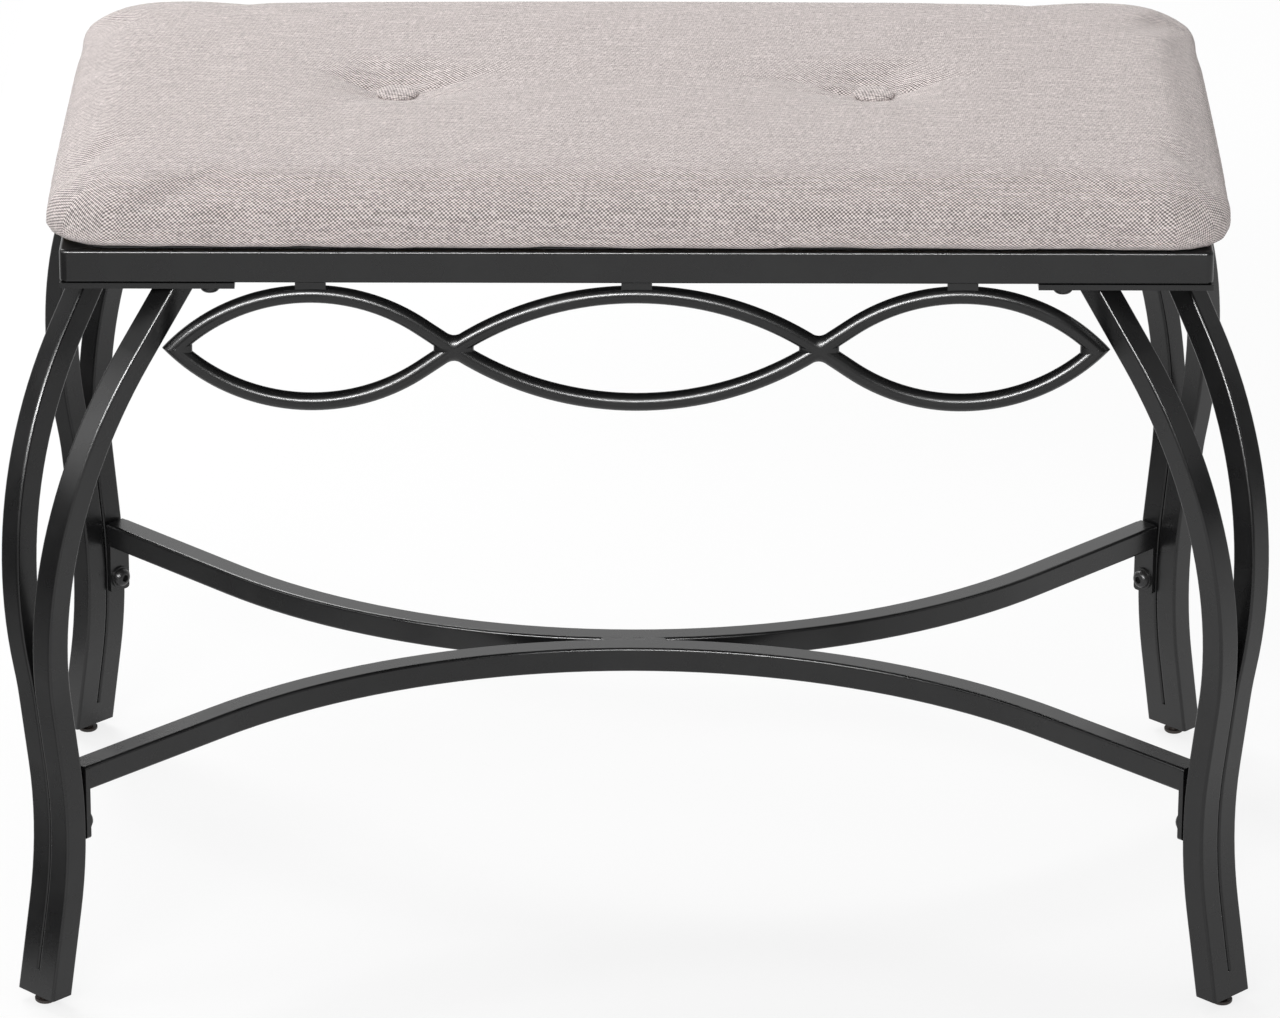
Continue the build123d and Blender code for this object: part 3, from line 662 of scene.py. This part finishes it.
# fillet where rods meet: its outline is the rods' own outlines added as a p-norm, which rounds the notches;
# a sector keeps it to one notch, and elsewhere it stays hidden inside the rods
def rodWeld(place, arms, radius, reach, blunt, look, sector=None):
    turn = np.linspace(0, 2 * math.pi, look["spokes"], endpoint=False)
    slim = radius * look["slim"]
    total = np.full(len(turn), slim ** look["fill"])
    for arm in arms:
        off = np.angle(np.exp(1j * (turn - math.radians(arm))))
        sine = np.maximum(np.abs(np.sin(off)), slim / reach)
        total = total + np.where(np.abs(off) < math.pi / 2, (slim / sine) ** look["fill"], 0)
    outline = np.minimum(total ** (1 / look["fill"]), reach)
    sideways = np.abs(np.cos(turn))  # the notches to left and right end in a short flat
    flat = sideways > math.cos(math.radians(look["bluntTurn"]))
    bluntEnd = blunt / np.maximum(sideways, look["leastCosine"])
    outline = np.where(flat, np.maximum(outline, bluntEnd), outline)
    if sector:
        off = np.angle(np.exp(1j * (turn - math.radians(sector[0]))))
        inside = np.abs(off) < math.radians(sector[1])
        outline = np.where(inside, outline, look["hidden"] * radius)
    q = np.sin(np.linspace(0, math.pi / 2, look["rings"]))
    depth = radius * look["proud"] * np.sqrt(np.maximum(1 - q ** 2, 0))
    x = place[0] + (q[:, None] * outline) * np.cos(turn)
    z = place[2] + (q[:, None] * outline) * np.sin(turn)
    y = np.repeat(depth[:, None], len(turn), 1)
    front = np.stack([x, place[1] - y, z], -1).reshape(-1, 3)
    back = np.stack([x, place[1] + y, z], -1).reshape(-1, 3)
    faces = gridQuads(look["rings"], len(turn), closed=True)
    return [(front, faces), (back, faces[:, ::-1])]


upperLow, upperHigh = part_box("front_wave_upper_middle")
rodRadius = (upperHigh.y - upperLow.y) / 2
waveLevel = upperLow.z
rise = upperHigh.z - rodRadius - waveLevel
crossing = upperHigh.x


# direction, in degrees, from the end of an arc on the middle line to a point so far along it
def armSlope(halfChord, along):
    radius = (halfChord ** 2 + rise ** 2) / (2 * rise)
    return math.degrees(math.asin(halfChord / radius) - along / (2 * radius))


# rods run straight through a crossing on its outer side, and curve on its inner side and at the tips
tipPlace = weldLook["tipPlace"]
endHalf = math.sqrt(2 * crossing * (tipPlace - crossing)) - crossing
innerArm = armSlope(crossing, weldLook["crossReach"])
outerArm = armSlope(crossing, 0)
tipArm = armSlope(endHalf, weldLook["tipReach"])
weldGrids = []
for row in ((upperLow.y + upperHigh.y) / 2, -(upperLow.y + upperHigh.y) / 2):
    for side in (-1, 1):
        inward, outward = (180, 0) if side > 0 else (0, 180)
        crossArms = [inward - innerArm, inward + innerArm, outward - outerArm, outward + outerArm]
        weldGrids += rodWeld((side * crossing, row, waveLevel), crossArms, rodRadius,
                             weldLook["crossReach"], weldLook["crossBlunt"], weldLook)
        tipArms = [inward - tipArm, inward + tipArm]
        weldGrids += rodWeld((side * tipPlace, row, waveLevel), tipArms, rodRadius,
                             weldLook["tipReach"], weldLook["tipBlunt"], weldLook, sector=(inward, tipArm))
weldPoints, weldFaces = joinGrids(weldGrids)
closeSeams(newPiece("wave_welds", weldPoints, weldFaces, finishes["black_frame"]))

seamLook = {
    "steps": (60, 15), "run": 18.5 * mm, "width": 2.9 * mm, "leastWidth": 0.02 * mm, "taper": 8,
    "sunk": 0.03 * mm, "crown": 0.16 * mm, "crownPower": 4, "endFall": 0.5 * mm, "edgePower": 24,
    "ripple": 0.05 * mm, "ripplePace": 9, "depth": 0.8 * mm,
}


# ground weld over the seam where the stretchers meet: a low pad with tapered ends, closed below
def seamWeld(level, way, look):
    u, v = (np.linspace(-1, 1, count) for count in look["steps"])
    uu, vv = np.meshgrid(u, v, indexing="ij")
    width = look["width"] * np.sqrt(np.maximum(1 - np.abs(uu) ** look["taper"], 0)) + look["leastWidth"]
    ends, sides = np.abs(uu) ** look["edgePower"], np.abs(vv) ** look["edgePower"]
    ripple = look["ripple"] * np.sin(uu * look["ripplePace"]) * (1 - vv ** 2)
    sink = look["crown"] * np.abs(vv) ** look["crownPower"] + look["endFall"] * ends + ripple
    shown = level - way * (sink + look["sunk"])
    hidden = shown - way * look["depth"] * (1 - np.maximum(ends, sides))
    faces = gridQuads(len(u), len(v))
    top = np.stack([uu * look["run"], vv * width, shown], -1).reshape(-1, 3)
    below = np.stack([uu * look["run"], vv * width, hidden], -1).reshape(-1, 3)
    return [(top, faces), (below, faces[:, ::-1])]


stretcherLow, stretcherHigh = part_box("front_stretcher")
seamGrids = seamWeld(stretcherHigh.z, 1, seamLook) + seamWeld(stretcherLow.z, -1, seamLook)
seamPoints, seamFaces = joinGrids(seamGrids)
closeSeams(newPiece("stretcher_welds", seamPoints, seamFaces, finishes["black_frame"]))
print("welds made")

# stage: pale floor, white surroundings to the eye, a dimmer room round the lamps, soft boxes
stageLook = {
    "floorSize": 14.0, "floorLeft": -0.45, "floorColour": 0.76, "whiteToEye": 0.8, "floorGloss": 0.5,
    "ambient": 0.57, "room": 0.06, "lowRoom": 0.36, "backdrop": 1.0,
    "backdropSpan": (0.1, 0.6), "lowSpan": (-0.42, -0.2),  # where a reflected ray's heading meets them
}
softBoxes = [
    {"name": "keyBox", "place": (-0.95, -3.2, 2.0), "aim": (0, 0, 0.35), "size": (2.2, 0.36),
     "power": 52},
    {"name": "glintBox", "place": (-1.0, -3.2, 2.0), "aim": (0, 0, 0.35), "size": (4.0, 0.36),
     "power": 300, "glintOnly": True},
    {"name": "backBox", "place": (-1.2, 1.9, 2.5), "aim": (0, 0, 0.4), "size": (1.8, 0.9), "power": 72},
    {"name": "leftBox", "place": (-2.4, -0.6, 1.2), "aim": (0, 0, 0.3), "size": (0.9, 1.2), "power": 10},
    {"name": "rightBox", "place": (2.4, -0.8, 1.3), "aim": (0, 0, 0.3), "size": (0.9, 1.2), "power": 4},
]


# what the ray is that looks: whether it comes from the camera, and whether from a shine
def rayKind(tree):
    path = addNode(tree, "ShaderNodeLightPath").outputs
    shine = mathNode(tree, "MAXIMUM", path["Is Glossy Ray"], path["Is Transmission Ray"])
    return path["Is Camera Ray"], shine


def makeFloor(look):
    half, left = look["floorSize"] / 2, look["floorLeft"]
    corners = [(left, -half, 0), (half, -half, 0), (half, half, 0), (left, half, 0)]
    mesh = bpy.data.meshes.new("floor")
    mesh.from_pydata(corners, [], [(0, 1, 2, 3)])
    floor = bpy.data.objects.new("floor", mesh)
    scene.collection.objects.link(floor)
    material, tree, shader = newMaterial(
        "paleFloor", Roughness=0.9, Specular_IOR_Level=0.1, Base_Color=opaque((look["floorColour"],) * 3))
    white = addNode(tree, "ShaderNodeEmission", {"Color": (1, 1, 1, 1), "Strength": 1.0})
    fromCamera, shine = rayKind(tree)
    glow = mathNode(tree, "MULTIPLY", shine, look["floorGloss"])
    share = mathNode(tree, "MULTIPLY_ADD", fromCamera, look["whiteToEye"], glow)
    mix = addNode(tree, "ShaderNodeMixShader", {0: share, 1: shader.outputs[0], 2: white.outputs[0]})
    tree.links.new(mix.outputs[0], tree.nodes["Material Output"].inputs["Surface"])
    mesh.materials.append(material)


# a smooth change of value as a heading passes through a span
def smoothSpan(tree, heading, span, first, last):
    values = {0: heading, 1: span[0], 2: span[1], 3: first, 4: last}
    return addNode(tree, "ShaderNodeMapRange", values, interpolation_type="SMOOTHSTEP").outputs[0]


def makeRoom(look):
    world = bpy.data.worlds.new("whiteRoom")
    world.use_nodes = True
    scene.world = world
    sky = world.node_tree
    background = sky.nodes["Background"]
    background.inputs["Color"].default_value = (1, 1, 1, 1)
    fromCamera, shine = rayKind(sky)
    heading = addNode(sky, "ShaderNodeTexCoord").outputs["Generated"]
    split = addNode(sky, "ShaderNodeSeparateXYZ", {0: heading}).outputs
    behind = smoothSpan(sky, split[1], look["backdropSpan"], look["room"], look["backdrop"])
    below = smoothSpan(sky, split[2], look["lowSpan"], look["lowRoom"], 0.0)
    around = mathNode(sky, "MAXIMUM", behind, below)
    lit = addNode(sky, "ShaderNodeMix", {0: shine, 2: look["ambient"], 3: around}, data_type="FLOAT")
    seen = addNode(sky, "ShaderNodeMix", {0: fromCamera, 2: lit.outputs[0], 3: 1.0}, data_type="FLOAT")
    sky.links.new(seen.outputs[0], background.inputs["Strength"])


def makeSoftBox(look):
    light = bpy.data.lights.new(look["name"], "AREA")
    light.shape = "RECTANGLE"
    light.size, light.size_y = look["size"]
    light.energy = look["power"]
    lamp = bpy.data.objects.new(look["name"], light)
    lamp.location = look["place"]
    lamp.rotation_mode = "QUATERNION"
    lamp.rotation_quaternion = (Vector(look["aim"]) - Vector(look["place"])).to_track_quat("-Z", "Y")
    lamp.visible_diffuse = not look.get("glintOnly", False)  # a reflection strip adds no light to the cloth
    scene.collection.objects.link(lamp)


makeFloor(stageLook)
makeRoom(stageLook)
for boxLook in softBoxes:
    makeSoftBox(boxLook)

# camera at the photograph's angle, for an image of 1280 by 1018
cameraLook = {
    "imageWidth": 1280, "focalPixels": 7489, "sensor": 36.0, "clip": (0.1, 60.0),
    "place": (-0.0233, -3.8174, 1.7547), "yaw": 0.4, "pitch": 22.0, "roll": -0.25,
}


def makeCamera(look):
    data = bpy.data.cameras.new("photoCamera")
    data.sensor_width = look["sensor"]
    data.lens = data.sensor_width * look["focalPixels"] / look["imageWidth"]
    data.clip_start, data.clip_end = look["clip"]
    camera = bpy.data.objects.new("photoCamera", data)
    yaw = Matrix.Rotation(-math.radians(look["yaw"]), 4, "Z")
    pitch = Matrix.Rotation(math.radians(90 - look["pitch"]), 4, "X")
    roll = Matrix.Rotation(-math.radians(look["roll"]), 4, "Z")
    camera.matrix_world = Matrix.Translation(look["place"]) @ yaw @ pitch @ roll
    scene.collection.objects.link(camera)
    scene.camera = camera


makeCamera(cameraLook)
scene.view_settings.view_transform = "Standard"
print("stage and camera set")
